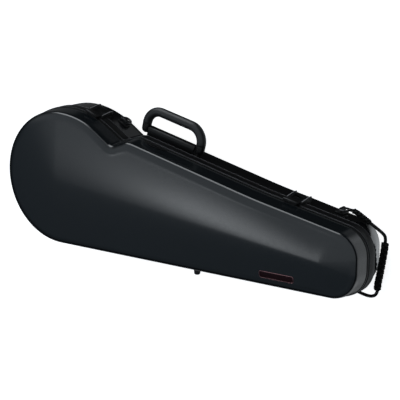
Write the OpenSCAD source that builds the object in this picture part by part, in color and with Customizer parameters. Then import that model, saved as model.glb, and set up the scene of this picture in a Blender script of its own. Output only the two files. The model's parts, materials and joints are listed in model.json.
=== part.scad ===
// Shaped violin case lying on its back, lid up: two moulded shells on a pin hinge,
// a swinging handle, two flap latches, strap rings, a carry loop and a fitted inside.
// Most shapes are drawn in case coordinates and turned into the part's frame by in_case():
// u runs from the body end to the neck end, w from the hinge side to the handle side,
// and z is 0 at the seam.

/* [Outline] */
// Length of the lid edge
case_l = 768; // [760:1:800]
// Width over the body end
body_w = 254; // [250:1:260]
// Width of the neck end
neck_w = 110; // [104:1:116]
// Corner radius at the neck end, handle side
neck_r = 46; // [40:1:50]
// Distance of the waist from the body end
waist_u = 253; // [250:1:256]
// Width left at the waist
waist_w = 204; // [200:1:208]
// Radius of the waist's hollow
waist_r = 17; // [14:1:20]

/* [Shells] */
// Height of the lid over the seam
lid_h = 48; // [46:1:52]
// Depth of the base below the seam
base_d = 82; // [80:1:90]
// Wall thickness of both shells
wall_t = 3; // [2:0.5:3.5]
// How far the seam stands out from the lid edge
seam_out = 2.8; // [2.6:0.2:4]
// How far the neck end of the base draws in at the back
neck_rake = 12; // [0:1:14]
// How much fuller the body end of the base is at the back
body_full = 2; // [0:0.5:3]

/* [Rims] */
// Height of the band on the base
base_rim_h = 20; // [16:1:20]
// How far both bands stand out from the lid edge
rim_out = 4.4; // [4.2:0.2:6]
// Height of the band on the lid
lid_rim_h = 5.5; // [5:0.5:6]
// Gap between the two bands
seam_gap = 1; // [0.8:0.1:1.2]

/* [Handle] */
// Distance of the handle's middle from the body end
handle_u = 340; // [336:1:360]
// Distance between the middles of the two legs
handle_span = 124; // [118:2:130]
// Height of the grip's middle over the wall
handle_h = 49; // [46:1:56]
// Radius of the grip
grip_r = 8.5; // [7.5:0.5:9]
// Radius of the grip's corners
grip_bend = 28; // [24:1:30]

/* [Latches] */
// Distances of the two latches from the body end
latch_us = [181, 618]; // [150:1:700]
// Width of a latch flap
latch_w = 28; // [24:1:30]
// Height of a latch plate
latch_h = 35; // [32:1:36]

/* [Inside] */
// Length of the pocket for the instrument's body
pocket_l = 364; // [360:1:366]
// Width of the pocket at the lower bout
lower_bout = 214; // [210:1:216]
// Width of the pocket at the upper bout
upper_bout = 176; // [172:1:178]
// Angle of the instrument to the hinge side
pocket_angle = 5.5; // [5:0.5:6]
// Depth of the pocket's floor below the seam
pocket_d = 60; // [54:1:60]

/* [Hidden] */

// Colours
slate = [0.24, 0.27, 0.29];
black = [0.05, 0.05, 0.06];
rubber = [0.10, 0.10, 0.10];
steel = [0.62, 0.63, 0.65];
velvet = [0.20, 0.05, 0.07];
leather = [0.09, 0.08, 0.08];

// Place of the part's origin: under the middle of the case, on the floor
foot_h = 5;
origin_u = 379.9;
origin_w = 129.2;
seam_z = base_d + foot_h;

body_r = body_w / 2;
neck_end_r = 50;
spine_end = case_l - 68;
neck_mid = 63;
fine = 48;

module in_case() {
    translate([origin_u, origin_w, seam_z])
        rotate([0, 0, 180])
            children();
}

// ---- Outline of the case ----
// A corner of the outline as n + 1 points [u, w, normal u, normal w] on an arc of radius r

function unit(v) = v / norm(v);

function corner(before, at, after, r, n) =
    let (in = unit(at - before),
         out = unit(after - at),
         turn = atan2(in[0] * out[1] - in[1] * out[0], in * out),
         side = turn < 0 ? 1 : -1,
         first = atan2(in[0], -in[1]),
         start = at - in * r * tan(abs(turn) / 2),
         centre = start - side * r * [cos(first), sin(first)])
    [for (i = [0:n])
        let (a = first + turn * i / n, out_n = [cos(a), sin(a)], p = centre + side * r * out_n)
        [p[0], p[1], out_n[0], out_n[1]]];

body_top = [0, body_w];
shoulder = [178, body_w];
waist = [waist_u, waist_w];
crest = [290, waist_w + 13];
slope = [560, 151.5];
neck_top = [case_l, neck_w];
neck_bottom = [case_l, 0];

body_arc = [for (i = [0:9])
    let (a = 180 - 9 * i)
    [body_r + body_r * cos(a), body_r + body_r * sin(a), cos(a), sin(a)]];

slope_side = concat(
    corner(body_top, shoulder, waist, 170, 4),
    corner(shoulder, waist, crest, waist_r, 3),
    corner(waist, crest, slope, 35, 3),
    corner(crest, slope, neck_top, 1500, 2));

handle_side = concat(body_arc, slope_side, corner(slope, neck_top, neck_bottom, neck_r, 5));
neck_arc = corner(neck_top, neck_bottom, [0, 0], neck_end_r, 5);
hinge_side = concat(
    [for (p = body_arc) [p[0], body_w - p[1], p[2], -p[3]]],
    [for (p = slope_side) [p[0], 0, 0, -1]],
    [for (i = [5:-1:0]) neck_arc[i]]);

half_n = len(handle_side);
outline = concat(handle_side, [for (i = [half_n - 1:-1:1]) hinge_side[i]]);
outline_n = len(outline);

// The outline moved outwards by off, as plain points
function outline_at(off) = [for (p = outline) [p[0] + p[2] * off, p[1] + p[3] * off]];

// The handle side's wall at distance u: its width w, and its direction
function wall_index(u) =
    [for (i = [0:half_n - 2]) if (handle_side[i][0] <= u && u < handle_side[i + 1][0]) i][0];

function wall_angle(u) =
    let (i = wall_index(u), d = handle_side[i + 1] - handle_side[i])
    atan2(d[1], d[0]);

function wall_w(u) =
    let (i = wall_index(u), d = handle_side[i + 1] - handle_side[i])
    handle_side[i][1] + (u - handle_side[i][0]) * d[1] / d[0];

// Children stand on the handle side's wall at distance u: x along it, y out of it
module on_wall(u, off = 0) {
    translate([u, wall_w(u), 0])
        rotate([0, 0, wall_angle(u)])
            translate([0, off, 0])
                children();
}

// Children keep off the case: what lies inside the outline moved by off is cut away
module outside(off, low, high) {
    difference() {
        children();
        translate([0, 0, low])
            linear_extrude(high - low)
                polygon(outline_at(off));
    }
}

// A prism between two copies of the outline
module band(out, in, low, high) {
    translate([0, 0, low])
        linear_extrude(high - low)
            difference() {
                polygon(outline_at(out));
                polygon(outline_at(in));
            }
}

// ---- Moulded shells ----
// A ring is [outward offset, z, share of the way to the spine, rake at the neck end,
// extra offset at the body end]

function spine_at(u) =
    let (s = min(max(u, body_r), spine_end), share = (s - body_r) / (spine_end - body_r))
    [s, body_r + (neck_mid - body_r) * share];

function raked(u, rake) = u - rake * pow(max(0, (u - 560) / (case_l - 560)), 2);

// 1 over the body end, fading to 0 past the waist
function at_body(u) = min(1, max(0, (waist_u + 20 - u) / 120));

function ring_points(ring) =
    [for (p = outline)
        let (off = ring[0] + ring[4] * at_body(p[0]),
             rim = [p[0] + p[2] * off, p[1] + p[3] * off],
             at = rim + (spine_at(p[0]) - rim) * ring[2])
        [raked(at[0], ring[3]), at[1], ring[1]]];

function turned(face, turn) = turn ? [for (i = [len(face) - 1:-1:0]) face[i]] : face;

// The strip across a ring, from the handle side to the hinge side
function cap_faces(start, turn) =
    [for (i = [0:half_n - 2])
        let (far = i == 0 ? 0 : outline_n - i,
             near = outline_n - i - 1,
             quad = i == 0 ? [0, 1, near] : [i, i + 1, near, far])
        turned([for (k = quad) start + k], turn)];

// A closed skin through the rings, from the cap of the first to the cap of the last
module skin(rings, down = false) {
    n = outline_n;
    last = len(rings) - 1;
    points = [for (ring = rings) for (p = ring_points(ring)) p];
    sides = [for (k = [0:last - 1]) for (i = [0:n - 1]) for (half = [0, 1])
        let (j = (i + 1) % n,
             a = (k + 1) * n + i,
             b = (k + 1) * n + j,
             c = k * n + j,
             d = k * n + i)
        turned(half == 0 ? [a, b, c] : [a, c, d], down)];
    polyhedron(points, concat(sides, cap_faces(0, down), cap_faces(last * n, !down)));
}

// The lid's outside from the spine down to the rim, then its inside from the rim to the spine
lid_low = seam_gap / 2 + lid_rim_h;
edge_z = lid_h - 17;
crown = [[0.92, 0], [0.75, 0.6], [0.5, 1.8], [0.25, 3.4]];

function lid_face(inset, drop) = concat(
    [for (c = crown) [-30 - inset / 3, lid_h - c[1] - drop, c[0], 0, 0]],
    [[-30 - inset, lid_h - 4.6 - drop, 0, 0, 0],
     [-13 - inset, lid_h - 6.2 - drop, 0, 0, 0],
     [-5.5 - inset, lid_h - 8.2 - drop, 0, 0, 0],
     [-1.8 - inset, lid_h - 11.6 - drop, 0, 0, 0],
     [-inset, edge_z - drop / 2, 0, 0, 0],
     [1.7 - inset, lid_low + 12, 0, 0, 0]]);

function backwards(list) = [for (i = [len(list) - 1:-1:0]) list[i]];

lid_rings = concat(
    lid_face(0, 0),
    [[seam_out, lid_low, 0, 0, 0], [seam_out - wall_t, lid_low, 0, 0, 0]],
    backwards(lid_face(wall_t, wall_t)));

lining_gap = 0.6;
lining_t = 3;
lining_in = wall_t + lining_gap;
lining_rings = concat(
    lid_face(lining_in, lining_in),
    [[seam_out - lining_in, lid_low + 3, 0, 0, 0],
     [seam_out - lining_in - lining_t, lid_low + 3, 0, 0, 0]],
    backwards(lid_face(lining_in + lining_t, lining_in + lining_t)));

base_top = -seam_gap / 2 - base_rim_h;
back_edge = 18;
shell_top_out = 2.2;

function base_face(inset, lift) =
    [[-back_edge - inset, lift - base_d, 0, neck_rake + 2, body_full],
     [-11 - inset, lift - base_d + 2, 0, neck_rake + 2, body_full],
     [-5 - inset, lift - base_d + 6.5, 0, neck_rake + 2, body_full],
     [-1.5 - inset, lift / 2 - base_d + 12, 0, neck_rake + 1, body_full],
     [-inset, back_edge - base_d, 0, neck_rake, body_full],
     [1.3 - inset, -42, 0, neck_rake / 2, body_full / 2]];

base_rings = concat(
    base_face(0, 0),
    [[shell_top_out, base_top, 0, 2, 0], [shell_top_out - wall_t, base_top, 0, 2, 0]],
    backwards(base_face(wall_t, wall_t)));

module base_shell() {
    color(black) in_case() skin(base_rings, down = true);
}

module lid_shell() {
    color(slate) in_case() skin(lid_rings);
}

module lid_lining() {
    color(velvet) in_case() skin(lining_rings);
}

// ---- Rims and seal ----
rim_in = -3.2;
tongue_out = -1.1;
tongue_h = 3;

module base_rim() {
    color(black) in_case() {
        band(rim_out, rim_in, base_top, -seam_gap / 2);
        band(tongue_out, rim_in, -seam_gap / 2, tongue_h - seam_gap / 2);
    }
}

module lid_rim() {
    color(black) in_case() band(rim_out - 0.5, -0.3, seam_gap / 2, lid_low);
}

module seam_gasket() {
    color(rubber) in_case() band(2.6, 0.4, -seam_gap / 2, seam_gap / 2 - 0.3);
}

// ---- Fitted inside of the base ----
lining_top = -8;
lining_off = -4.2;
pocket_start = [20, body_r];
neck_channel = 24;
scroll_half = 30;
scroll_start = 495;
scroll_stop = 602;
channel_d = 36;
lining_cuts = [388, 634];
lining_joint = 0.4;
box_u = [644, 676];
well_u = [692, 724];
box_w = [26, 92];

// Half the pocket's outline, along its axis from the lower end to the neck
pocket_half = concat(
    corner([0, 0], [0, lower_bout / 2], [130, lower_bout / 2], 100, 8),
    corner([0, lower_bout / 2], [150, lower_bout / 2], [168, 72], 40, 5),
    corner([150, lower_bout / 2], [168, 72], [226, 68], 16, 3),
    corner([168, 72], [226, 68], [244, upper_bout / 2], 16, 3),
    corner([226, 68], [240, upper_bout / 2], [pocket_l, upper_bout / 2], 24, 4),
    corner([240, upper_bout / 2], [pocket_l, upper_bout / 2], [pocket_l, 0], 78, 6));

module pocket_outline() {
    half = [for (p = pocket_half) [p[0], p[1]]];
    polygon(concat(half, [for (i = [len(half) - 1:-1:0]) [half[i][0], -half[i][1]]]));
}

module along_pocket() {
    translate([pocket_start[0], pocket_start[1], 0])
        rotate([0, 0, -pocket_angle])
            children();
}

module slot(from, to, half, low) {
    translate([from, -half, low])
        cube([to - from, 2 * half, -low]);
}

module lining_block(off, rake, low, high) {
    translate([0, 0, low])
        linear_extrude(high - low)
            polygon([for (p = ring_points([off, 0, 0, rake, 0])) [p[0], p[1]]]);
}

// The lining with its pockets, between two distances from the body end
module lining_part(from, to) {
    color(velvet) in_case() difference() {
        union() {
            lining_block(lining_off, neck_rake / 2, -40, lining_top);
            lining_block(lining_off, neck_rake, -62, -40);
            lining_block(-24, neck_rake + 2, -base_d + wall_t + 0.3, -62);
        }
        along_pocket() {
            translate([0, 0, -pocket_d])
                linear_extrude(pocket_d)
                    pocket_outline();
            slot(pocket_l - 20, scroll_start + 1, neck_channel, -channel_d);
            slot(scroll_start, scroll_stop, scroll_half, -pocket_d);
        }
        for (well = [well_u, box_u])
            translate([well[0], box_w[0], -pocket_d])
                cube([well[1] - well[0], box_w[1] - box_w[0], pocket_d]);
        for (past = [from - case_l, to])
            translate([past, -1, -base_d])
                cube([case_l, body_w + 2, base_d]);
    }
}

module base_lining() {
    lining_part(0, lining_cuts[0]);
}

module neck_lining() {
    lining_part(lining_cuts[0] + lining_joint, lining_cuts[1]);
}

module end_lining() {
    lining_part(lining_cuts[1] + lining_joint, case_l);
}

cradle_u = 392;

module neck_cradle() {
    cradle_l = 46;
    cradle_top = -16;
    color(velvet) in_case() along_pocket() difference() {
        translate([cradle_u, -neck_channel + 0.3, -channel_d])
            cube([cradle_l, 2 * neck_channel - 0.6, cradle_top + channel_d]);
        translate([cradle_u - 1, 0, cradle_top + 4])
            rotate([0, 90, 0])
                cylinder(h = cradle_l + 2, r = 16, $fn = fine);
    }
}

module neck_strap() {
    strap_w = 24;
    strap_l = 96;
    strap_t = 2;
    color(black) in_case() along_pocket()
        translate([cradle_u + 52, 0, lining_top])
            linear_extrude(strap_t) {
                square([strap_w, strap_l - strap_w], center = true);
                for (side = [-1, 1])
                    translate([0, side * (strap_l - strap_w) / 2])
                        circle(r = strap_w / 2, $fn = fine);
            }
}

// ---- Small lidded box beside the scroll ----
flap_t = 2.6;
flap_l = 36;
flap_pin_r = 1;
flap_axis = [640, lining_top + 1.6];
flap_w = [box_w[0] - 3, box_w[1] + 3];
knuckle_l = 14;

module along_w(u, z, w_from, w_to, r) {
    translate([u, w_from, z])
        rotate([-90, 0, 0])
            cylinder(h = w_to - w_from, r = r, $fn = fine);
}

module rosin_hinge_pin() {
    ends = 7;
    color(steel) in_case() {
        along_w(flap_axis[0], flap_axis[1], flap_w[0], flap_w[1], flap_pin_r);
        for (w = [flap_w[0], flap_w[1] - ends])
            along_w(flap_axis[0], flap_axis[1], w, w + ends, 1.6);
    }
}

module rosin_lid() {
    color(velvet) in_case() difference() {
        union() {
            translate([flap_axis[0] + 2.4, flap_w[0], lining_top + 0.2])
                cube([flap_l, flap_w[1] - flap_w[0], flap_t]);
            for (w = [flap_w[0] + 8, flap_w[1] - 8 - knuckle_l]) {
                along_w(flap_axis[0], flap_axis[1], w, w + knuckle_l, 1.5);
                translate([flap_axis[0], w, flap_axis[1] - 0.6])
                    cube([3, knuckle_l, 1.2]);
            }
        }
        along_w(flap_axis[0], flap_axis[1], flap_w[0], flap_w[1], flap_pin_r + 0.05);
    }
}

module rosin_lid_tab() {
    tab = [12, 14, 1.2];
    color(black) in_case()
        translate([flap_axis[0] + flap_l - 8, (flap_w[0] + flap_w[1] - tab[1]) / 2,
            lining_top + 0.2 + flap_t])
            cube(tab);
}

// ---- Handle ----
// A bar on the wall between the legs carries the pins' bores, and the legs' eyes turn at its ends
pivot_y = 9.6;
pivot_z = -33;
bar_r = 8;
screw_y = 14.8;
screw_r = 3.6;
screw_xs = [-30, 30];
bracket_off = 2.1;
leg_gap = 0.5;
handle_pin_r = 2.5;
pin_depth = 12;
leg = handle_span / 2;
bar_end = leg - grip_r - leg_gap;

module at_handle() {
    on_wall(handle_u, bracket_off) children();
}

module along_x(from, to, y, z, r) {
    translate([from, y, z])
        rotate([0, 90, 0])
            cylinder(h = to - from, r = r, $fn = fine);
}

module handle_bracket() {
    color(black) in_case() outside(bracket_off, pivot_z - 2 * bar_r, pivot_z + 2 * bar_r)
        at_handle() difference() {
            union() {
                along_x(-bar_end, bar_end, pivot_y, pivot_z, bar_r);
                translate([-bar_end, -4, pivot_z - bar_r])
                    cube([2 * bar_end, pivot_y + 4, 2 * bar_r]);
            }
            for (side = [-1, 1])
                along_x(side * bar_end - pin_depth, side * bar_end + pin_depth,
                    pivot_y, pivot_z, handle_pin_r + 0.05);
            for (x = screw_xs)
                translate([x, screw_y, pivot_z])
                    rotate([-90, 0, 0])
                        cylinder(h = bar_r, r = screw_r + 0.4, $fn = fine);
        }
}

module bracket_screws() {
    head_h = 1.8;
    color(steel) in_case() at_handle()
        for (x = screw_xs)
            translate([x, screw_y, pivot_z])
                rotate([-90, 0, 0])
                    difference() {
                        cylinder(h = head_h, r = screw_r, $fn = fine);
                        translate([0, 0, head_h])
                            cube([1, 4.6, 1.4], center = true);
                    }
}

module quarter(side) {
    corner_y = handle_h - grip_bend;
    translate([side * (leg - grip_bend), corner_y, pivot_z])
        mirror([side < 0 ? 1 : 0, 0, 0])
            rotate_extrude(angle = 90, $fn = 72)
                translate([grip_bend, 0])
                    circle(r = grip_r, $fn = fine);
}

sleeve_top = 20;

module handle_grip() {
    flat = leg - grip_bend;
    color(rubber) in_case() at_handle() {
        along_x(-flat, flat, handle_h, pivot_z, grip_r);
        for (side = [-1, 1]) {
            quarter(side);
            translate([side * leg, sleeve_top, pivot_z])
                rotate([-90, 0, 0])
                    cylinder(h = handle_h - grip_bend - sleeve_top, r = grip_r, $fn = fine);
        }
    }
}

module handle_sleeves() {
    color(black) in_case() at_handle()
        for (side = [-1, 1]) {
            translate([side * leg, pivot_y, pivot_z]) {
                sphere(r = grip_r, $fn = fine);
                rotate([-90, 0, 0])
                    cylinder(h = sleeve_top - pivot_y, r = grip_r, $fn = fine);
            }
            along_x(side * (leg - 8.2) - pin_depth / 2, side * (leg - 8.2) + pin_depth / 2,
                pivot_y, pivot_z, handle_pin_r);
        }
}

// ---- Latches ----
latch_pin_z = -31;
latch_pin_y = 5.6;
latch_pin_r = 1.5;
cheek_t = 1.8;
latch_plate_t = 1.4;
cheek_x = latch_w / 2 + 0.4;
latch_low = -3 - latch_h;

module at_latch(k) {
    on_wall(latch_us[k], rim_out) children();
}

// Children are a section [y out of the wall, z], drawn from one x to another
module section_x(from, to) {
    translate([from, 0, 0])
        rotate([90, 0, 90])
            linear_extrude(to - from)
                children();
}

module latch_plate(k) {
    half = cheek_x + cheek_t;
    cheek = [[-5, latch_low], [8.2, latch_low], [9, latch_low + 1], [9, latch_pin_z + 4],
        [5, -6], [4.4, -3.6], [0, -3], [-5, -3]];
    color(black) in_case() outside(shell_top_out + 0.1, latch_low - 1, base_top) outside(rim_out, base_top, 1)
        at_latch(k) difference() {
            union() {
                translate([-half, -5, latch_low])
                    cube([2 * half, 5 + latch_plate_t, latch_h]);
                for (x = [-half, cheek_x])
                    section_x(x, x + cheek_t)
                        polygon(cheek);
            }
            along_x(-half - 1, half + 1, latch_pin_y, latch_pin_z, latch_pin_r + 0.05);
        }
}

module latch_pin(k) {
    color(steel) in_case() at_latch(k)
        along_x(-cheek_x - cheek_t - 0.6, cheek_x + cheek_t + 0.6,
            latch_pin_y, latch_pin_z, latch_pin_r);
}

// Flap profile in the wall's section: knuckle round the pin, plate, and a thumb lip past the seam
nose_z = 8;
flap_in = 2.1;

module latch_lever(k) {
    profile = [[flap_in + 0.5, latch_pin_z], [flap_in, -27], [flap_in, nose_z - 1],
        [flap_in + 0.6, nose_z], [6.2, nose_z], [7, nose_z - 1], [6.6, nose_z - 2.4],
        [4.9, nose_z - 5], [5.1, -8], [6.4, -18], [8.2, -27], [latch_pin_y + 3, latch_pin_z]];
    grooves = 5;
    color(black) in_case() at_latch(k) difference() {
        union() {
            section_x(-latch_w / 2, latch_w / 2)
                polygon(profile);
            along_x(-latch_w / 2, latch_w / 2, latch_pin_y, latch_pin_z, 3);
        }
        along_x(-latch_w, latch_w, latch_pin_y, latch_pin_z, latch_pin_r + 0.05);
        for (i = [0:grooves - 1])
            section_x(-latch_w / 2 + 5, latch_w / 2 - 5)
                translate([5.1 + 0.13 * (2.9 * i) + 0.1, -10 - 2.9 * i])
                    rotate(8)
                        square([1.2, 1.3], center = true);
    }
}

module latch_keepers() {
    keeper = [latch_w - 4, 3.1, 4.7];
    color(steel) in_case() outside(rim_out - 0.5, 0, lid_low)
        for (k = [0, 1])
            at_latch(k)
                translate([-keeper[0] / 2, -1.5, seam_gap / 2 + 0.3])
                    cube(keeper);
}

// A raised lip on the lid's wall under the handle, where a thumb lifts the lid
module lid_thumb_lip() {
    lip = [52, 9, 2.4];
    color(black) in_case() outside(2.9, 0, lid_low + 14)
        on_wall(handle_u - 8, 1)
            translate([0, 0, lid_low + 0.1])
                rotate([-90, 0, 0])
                    linear_extrude(lip[2])
                        intersection() {
                            scale([lip[0] / 2, lip[1]])
                                circle(r = 1, $fn = 72);
                            translate([-lip[0], -lip[1]])
                                square([2 * lip[0], lip[1]]);
                        }
}

// ---- Rings and their mounts ----
wire_r = 1.8;
ring_r = 9;
arm_l = 4;
barrel_r = 4.2;
barrel_y = 6;
barrel_l = 12;
ring_z = -48;

// A D-ring whose straight bar lies on the x axis, hanging down
module d_ring() {
    along_x(-ring_r, ring_r, 0, 0, wire_r);
    for (side = [-1, 1]) {
        translate([side * ring_r, 0, 0])
            sphere(r = wire_r, $fn = fine);
        translate([side * ring_r, 0, -arm_l])
            cylinder(h = arm_l, r = wire_r, $fn = fine);
    }
    translate([0, 0, -arm_l])
        rotate([-90, 0, 0])
            rotate_extrude(angle = 180, $fn = 72)
                translate([ring_r, 0])
                    circle(r = wire_r, $fn = fine);
}

// A plate with a barrel along x, standing on a wall whose outside is y = 0
module ring_mount() {
    plate = [22, 2.5, 16];
    difference() {
        union() {
            translate([-plate[0] / 2, 0, -plate[2] / 2])
                cube(plate);
            along_x(-barrel_l / 2, barrel_l / 2, barrel_y, 0, barrel_r);
            translate([-barrel_l / 2, 0, -barrel_r])
                cube([barrel_l, barrel_y, 2 * barrel_r]);
        }
        along_x(-barrel_l, barrel_l, barrel_y, 0, wire_r + 0.05);
    }
}

waist_ring_u = 217;
wall_off_at_ring = 2;
wall_off_at_end = 2.4;

module at_waist_ring() {
    on_wall(waist_ring_u, wall_off_at_ring) translate([0, 0, ring_z]) children();
}

module at_end_ring() {
    translate([-wall_off_at_end, body_r, ring_z]) rotate([0, 0, 90]) children();
}

module waist_ring_mount() {
    color(black) in_case() at_waist_ring() ring_mount();
}

module end_ring_mount() {
    color(black) in_case() at_end_ring() ring_mount();
}

module waist_ring() {
    color(steel) in_case() at_waist_ring() translate([0, barrel_y, 0]) d_ring();
}

module end_ring() {
    color(steel) in_case() at_end_ring() translate([0, barrel_y, 0]) d_ring();
}

// The two rings of the carry loop turn about upright bars
neck_ring_u = 689;
neck_ring_z = -50;
upper_lean = 10;
lower_lean = 0;
wall_off_at_neck = 1.45;

module at_neck_ring(upper) {
    if (upper)
        on_wall(neck_ring_u, wall_off_at_neck) translate([0, 0, neck_ring_z]) children();
    else
        translate([neck_ring_u + 14, -wall_off_at_neck, neck_ring_z])
            mirror([0, 1, 0])
                children();
}

module neck_ring_mounts() {
    color(black) in_case()
        for (upper = [false, true])
            at_neck_ring(upper)
                rotate([0, 90, 0])
                    ring_mount();
}

// The ring points along the wall towards the neck end, leaning away from it
module neck_ring(upper, lean) {
    color(steel) in_case() at_neck_ring(upper)
        translate([0, barrel_y, 0])
            rotate([0, 0, lean])
                rotate([0, -90, 0])
                    d_ring();
}

// ---- Carry loop at the neck end ----
// Routes in case coordinates, from the upper ring round the grip to the lower ring
strap_r = 3;
wrap_r = 4.6;
plait_r = 6;
wrap_route = [[705.6, 133.7, -50], [713, 133, -50], [721, 130, -50], [729, 125.4, -50.3]];
upper_route = [[729, 125.4, -50.3], [737, 120.6, -50.7], [746, 115.5, -51], [759, 107.5, -52], [767.9, 101.6, -52.5], [772.1, 96.7, -53],
    [773.3, 90.4, -53], [772.8, 84.4, -53]];
grip_route = [[772.8, 84.4, -53], [772, 74.4, -53], [769.8, 62, -54], [767.6, 49, -54.5],
    [765.4, 36, -54.5], [763.4, 23, -54], [761.6, 11, -53], [760.8, 1, -53]];
lower_route = [[760.8, 1, -53], [760.4, -4, -53], [757.5, -9.6, -52.5], [752.5, -12.4, -52],
    [746, -13.3, -51.5], [736, -12, -51], [727, -9.7, -50.5], [718.4, -7.6, -50]];

function tangent(route, i) =
    unit(route[min(i + 1, len(route) - 1)] - route[max(i - 1, 0)]);

// A tube along the route, closed by flat ends
module tube(route, r, sides) {
    up = [0, 0, 1];
    last = len(route) - 1;
    points = [for (i = [0:last])
        let (t = tangent(route, i), across = unit(cross(t, up)), over = cross(across, t))
        for (k = [0:sides - 1])
            route[i] + r * (cos(360 * k / sides) * across + sin(360 * k / sides) * over)];
    faces = concat(
        [for (i = [0:last - 1]) for (k = [0:sides - 1]) for (half = [0, 1])
            let (m = (k + 1) % sides,
                 a = i * sides + k,
                 b = i * sides + m,
                 c = (i + 1) * sides + m,
                 d = (i + 1) * sides + k)
            half == 0 ? [a, b, c] : [a, c, d]],
        [[for (k = [sides - 1:-1:0]) k]],
        [[for (k = [0:sides - 1]) last * sides + k]]);
    polyhedron(points, faces);
}

module carry_strap_upper() {
    color(black) in_case() tube(upper_route, strap_r, 8);
}

module carry_strap_lower() {
    color(black) in_case() tube(lower_route, strap_r, 8);
}

module carry_strap_wrap() {
    color(black) in_case() tube(wrap_route, wrap_r, 8);
}

module carry_strap_grip() {
    color(leather) in_case() tube(grip_route, plait_r, 10);
}

// ---- Hinges ----
hinge_us = [210, 570];
hinge_l = 60;
hinge_r = 3;
hinge_w = -8;
pin_r = 1.2;
leaf_t = 1.6;
leaf_edge = 3.5;
knuckle_ends = 19.7;

module along_u(from, to, r) {
    translate([from, hinge_w, 0])
        rotate([0, 90, 0])
            cylinder(h = to - from, r = r, $fn = fine);
}

// A knuckle with its arm to a leaf whose outside is at w = face; up is 1 for the lid, -1 for the base
module knuckle(from, to, face, up) {
    difference() {
        union() {
            along_u(from, to, hinge_r);
            translate([from, hinge_w, up > 0 ? 0.6 : -leaf_edge - 1])
                cube([to - from, -hinge_w + face, leaf_edge + 0.4]);
        }
        along_u(from - 1, to + 1, pin_r + 0.05);
    }
}

module base_hinge_leaves() {
    leaf_h = 15;
    color(black) in_case()
        for (u = hinge_us) {
            translate([u - hinge_l / 2, -rim_out - leaf_t, -leaf_edge - leaf_h])
                cube([hinge_l, leaf_t, leaf_h]);
            knuckle(u - hinge_l / 2, u - hinge_l / 2 + knuckle_ends, -rim_out, -1);
            knuckle(u + hinge_l / 2 - knuckle_ends, u + hinge_l / 2, -rim_out, -1);
        }
}

module lid_hinge_leaves() {
    leaf_h = 10;
    face = -rim_out + 0.5;
    middle = hinge_l / 2 - knuckle_ends - 0.3;
    color(black) in_case()
        for (u = hinge_us) {
            translate([u - hinge_l / 2, face - leaf_t, leaf_edge])
                cube([hinge_l, leaf_t, leaf_h]);
            translate([u - hinge_l / 2, face, lid_low + 0.1])
                cube([hinge_l, rim_out - 0.5 - seam_out, leaf_edge + leaf_h - lid_low - 0.1]);
            knuckle(u - middle, u + middle, face, 1);
        }
}

module hinge_pins() {
    color(steel) in_case()
        for (u = hinge_us)
            along_u(u - hinge_l / 2, u + hinge_l / 2, pin_r);
}

// ---- Feet ----
foot_tip = -13.5;
lid_foot_at = [431, 15];
side_foot_us = [170, 650];
side_foot_z = -52;
back_foot_at = [[70, 60], [70, 194], [640, 38], [640, 96]];

// A stud from the hinge side's wall at w = from out to the foot tips, with a softened end
module side_stud(u, z, from, r) {
    soft = 1.5;
    translate([u, from, z])
        rotate([90, 0, 0])
            rotate_extrude($fn = fine)
                polygon([[0, 0], [r + 1.5, 0], [r + 1.5, 1.5], [r, 3], [r - 0.5, from - foot_tip - soft],
                    [r - soft - 0.5, from - foot_tip], [0, from - foot_tip]]);
}

module lid_foot() {
    color(rubber) in_case() side_stud(lid_foot_at[0], lid_foot_at[1], -3, 6);
}

module side_feet() {
    color(rubber) in_case()
        for (u = side_foot_us)
            side_stud(u, side_foot_z, -1.35 - 0.6 * body_full * at_body(u), 8);
}

module back_feet() {
    foot_r = 9;
    color(rubber) in_case()
        for (at = back_foot_at)
            translate([at[0], at[1], -base_d - foot_h])
                rotate_extrude($fn = fine)
                    polygon([[0, 0], [foot_r - 1.5, 0], [foot_r, 1.5], [foot_r, foot_h - 1],
                        [foot_r - 1, foot_h], [0, foot_h]]);
}

// ---- Bare badge plate on the lid ----
module badge_plate() {
    badge = [70, 13, 0.8];
    badge_u = 616;
    rise = 1.6;
    run = 17;
    tilt = atan(rise / run);
    from_edge = 15;
    color(steel) in_case()
        translate([badge_u, from_edge, lid_h - 6.2 + (from_edge - 13) * rise / run + 0.05])
            rotate([tilt, 0, 0])
                translate([-badge[0] / 2, 0, 0])
                    cube(badge);
}

// ---- Bow holders in the lid ----
spinner_u = 92;
spinner_ws = [108, 146];
post_z = [27, 40.2];
post_r = 5;
shaft_r = 2.5;
spinner_l = 30;
spinner_t = 4;

module bow_posts() {
    flange_r = 10;
    flange_t = 2;
    color(black) in_case()
        for (w = spinner_ws)
            translate([spinner_u, w, 0])
                difference() {
                    union() {
                        translate([0, 0, post_z[0]])
                            cylinder(h = post_z[1] - post_z[0], r = post_r, $fn = fine);
                        translate([0, 0, post_z[1] - flange_t - 1])
                            cylinder(h = flange_t, r = flange_r, $fn = fine);
                    }
                    translate([0, 0, post_z[0] - 1])
                        cylinder(h = 11, r = shaft_r + 0.05, $fn = fine);
                }
}

module bow_spinner(w) {
    spinner_w = 9;
    neck_l = 0.4;
    color(black) in_case() translate([spinner_u, w, post_z[0] - neck_l]) {
        cylinder(h = 9, r = shaft_r, $fn = fine);
        translate([0, 0, -spinner_t])
            linear_extrude(spinner_t) {
                square([spinner_l - spinner_w, spinner_w], center = true);
                for (side = [-1, 1])
                    translate([side * (spinner_l - spinner_w) / 2, 0])
                        circle(r = spinner_w / 2, $fn = fine);
            }
    }
}

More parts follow.
